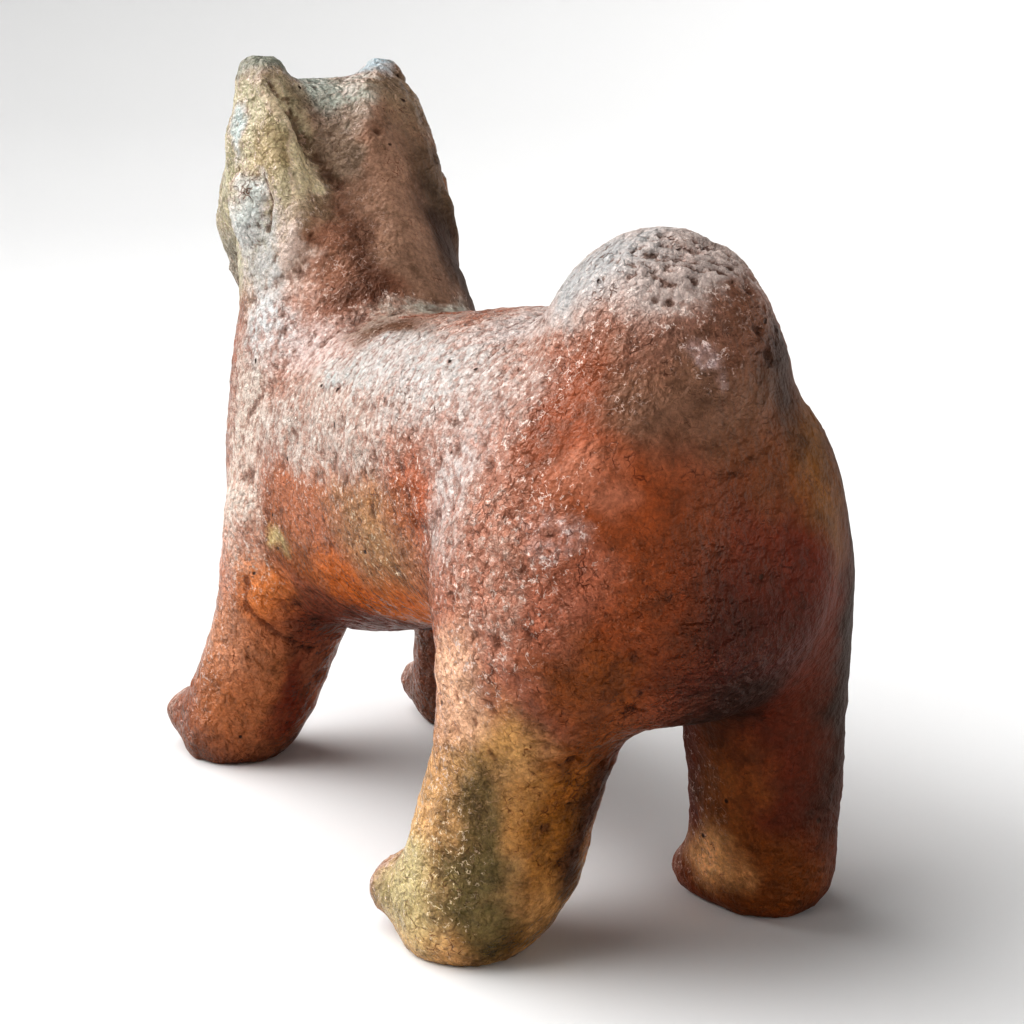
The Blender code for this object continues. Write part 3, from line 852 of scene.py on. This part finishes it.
# %% [markdown]
# The hollows are darkened. Small dark pits are left where chaff burnt out: they are the middles of a few
# Voronoi cells, because each cell has a random colour and only those with a high red keep a pit. The slip
# shrank more than the body when it dried, so it is crazed in patches: the edges of Voronoi cells about
# 1.5 mm wide, broken up by the specks. A fine speckle breaks every colour up, as grog and sand do. Real
# sand is a few tenths of a millimetre wide, and is drawn coarser here, so that it shows.

# %% Darker hollows, pits, cracks and speckle
PIT_SPACING, CRACK_SPACING, SPECKLE_MM = 3.4, 1.5, 0.9
BEND_MM, BEND_REACH = 2.5, 1.8
darkened_hollows = add("MapRange", {"Value": hollows, "From Min": 0.55, "To Max": 0.7}, interpolation_type="SMOOTHSTEP")
colour = add("Mix", {0: darkened_hollows, 6: colour, 7: linear("#7c5c4a")}, 2, data_type="RGBA", blend_type="MULTIPLY")

bend = add("TexNoise", {"Vector": in_mm, "Scale": 1 / BEND_MM, "Detail": 2}, "Color")
bent = add("VectorMath", {0: bend, 1: [BEND_REACH] * 3, 2: in_mm}, operation="MULTIPLY_ADD")
from_pit = add("TexVoronoi", {"Vector": bent, "Scale": 1 / PIT_SPACING})
lottery = add("SeparateColor", {0: add("TexVoronoi", {"Vector": bent, "Scale": 1 / PIT_SPACING}, "Color")})
chosen = add("MapRange", {"Value": lottery, "From Min": 0.9, "From Max": 0.93})
pits = add("MapRange", {"Value": from_pit, "From Min": 0.16, "From Max": 0.08})
pits = add("Math", {0: pits, 1: chosen}, operation="MULTIPLY")
colour = add("Mix", {0: pits, 6: colour, 7: linear("#2a1810")}, 2, data_type="RGBA")

from_edge = add("TexVoronoi", {"Vector": bent, "Scale": 1 / CRACK_SPACING}, feature="DISTANCE_TO_EDGE")
cracks = add("MapRange", {"Value": from_edge, "From Min": 0.08, "From Max": 0.01})
crazed = add("MapRange", {"Value": mottle, "From Min": 0.5, "From Max": 0.62})
broken = add("MapRange", {"Value": specks, "From Min": 0.46, "From Max": 0.56})
crazed = add("Math", {0: crazed, 1: broken}, operation="MULTIPLY")
cracks = add("Math", {0: cracks, 1: crazed}, operation="MULTIPLY")
colour = add("Mix", {0: cracks, 6: colour, 7: linear("#a88878")}, 2, data_type="RGBA", blend_type="MULTIPLY")

speckle = add("TexNoise", {"Vector": in_mm, "Scale": 1 / SPECKLE_MM, "Detail": 4, "Roughness": 0.7})
speckle = add("MapRange", {"Value": speckle, "From Min": 0.35, "From Max": 0.65,
                           "To Min": 0.76, "To Max": 1.24})
colour = add("VectorMath", {0: colour, "Scale": speckle}, operation="SCALE")
tree.links.new(colour, shader.inputs["Base Color"])

# %% [markdown]
# Burnished clay is smooth and a little shiny, and dust is matt. The roughness follows the dust and the
# dull places, and the mottle keeps the shine from being even. A tint warms the shine a little, because
# the real one's dark places look brown, and untinted they came out bluish.

# %% Shine
sooty = add("Attribute", {}, "Fac", attribute_name="dull")
dusty = add("Math", {0: cover, 1: 0.5}, operation="MULTIPLY")
dull = add("Math", {0: sooty, 1: dusty}, operation="MAXIMUM")
shine = add("MapRange", {"Value": mottle, "From Min": 0.35, "From Max": 0.65, "To Min": 0.17, "To Max": 0.27})
rough = add("Mix", {0: dull, 2: shine, 3: 0.62}, data_type="FLOAT")
tree.links.new(rough, shader.inputs["Roughness"])
shader.inputs["IOR"].default_value = 1.5
shader.inputs["Specular IOR Level"].default_value = 0.7
shader.inputs["Specular Tint"].default_value = linear("#ffccb2")

# %% [markdown]
# The broad grain is in the shape already. A bump adds the finer grain: wrinkles of the rubbed slip with
# sand between them, and on the scratched back short dashes that lean with the scratches. Pits and cracks
# go inwards. The dull side of the real one looks smoother, so the bump is weaker there.

# %% Fine grain
DASH_MM, WRINKLE_MM, SAND_MM = 3.0, 2.4, 1.1
BUMP_HEIGHT_MM = 1.2
combed_here = add("Attribute", {}, "Fac", attribute_name="combed_skin")
leaning = add("Mapping", {"Vector": in_mm, "Rotation": HAND_PULLED.to_track_quat("Y", "Z").to_euler(),
                          "Scale": (1, 2.4, 1)}, vector_type="TEXTURE")
dashes = add("TexNoise", {"Vector": leaning, "Scale": 1 / DASH_MM, "Detail": 1},
             noise_type="RIDGED_MULTIFRACTAL")
wrinkles = add("TexNoise", {"Vector": bent, "Scale": 1 / WRINKLE_MM, "Detail": 3})
wrinkles = add("Math", {0: wrinkles, 1: 2.4}, operation="MULTIPLY")
sand = add("TexNoise", {"Vector": in_mm, "Scale": 1 / SAND_MM, "Detail": 3, "Roughness": 0.6})
relief = add("Mix", {0: combed_here, 2: wrinkles, 3: dashes}, data_type="FLOAT")
relief = add("Math", {0: sand, 1: 0.9, 2: relief}, operation="MULTIPLY_ADD")
relief = add("Math", {0: pits, 1: -1.5, 2: relief}, operation="MULTIPLY_ADD")
relief = add("Math", {0: cracks, 1: -0.25, 2: relief}, operation="MULTIPLY_ADD")
strength = add("MapRange", {"Value": sooty, "To Min": 1.0, "To Max": 0.45})
bump = add("Bump", {"Strength": strength, "Height": relief, "Distance": BUMP_HEIGHT_MM * MM})
tree.links.new(bump, shader.inputs["Normal"])
ram.data.materials.clear()
ram.data.materials.append(clay)
print("material nodes:", len(tree.nodes))

# %% [markdown]
# ## The finished ram
#
# The ram rides on the part's one body and replaces the solid, which is hidden.

# %% Put the ram in place
ram.data.shade_smooth()
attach(ram, "root")
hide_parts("ram")
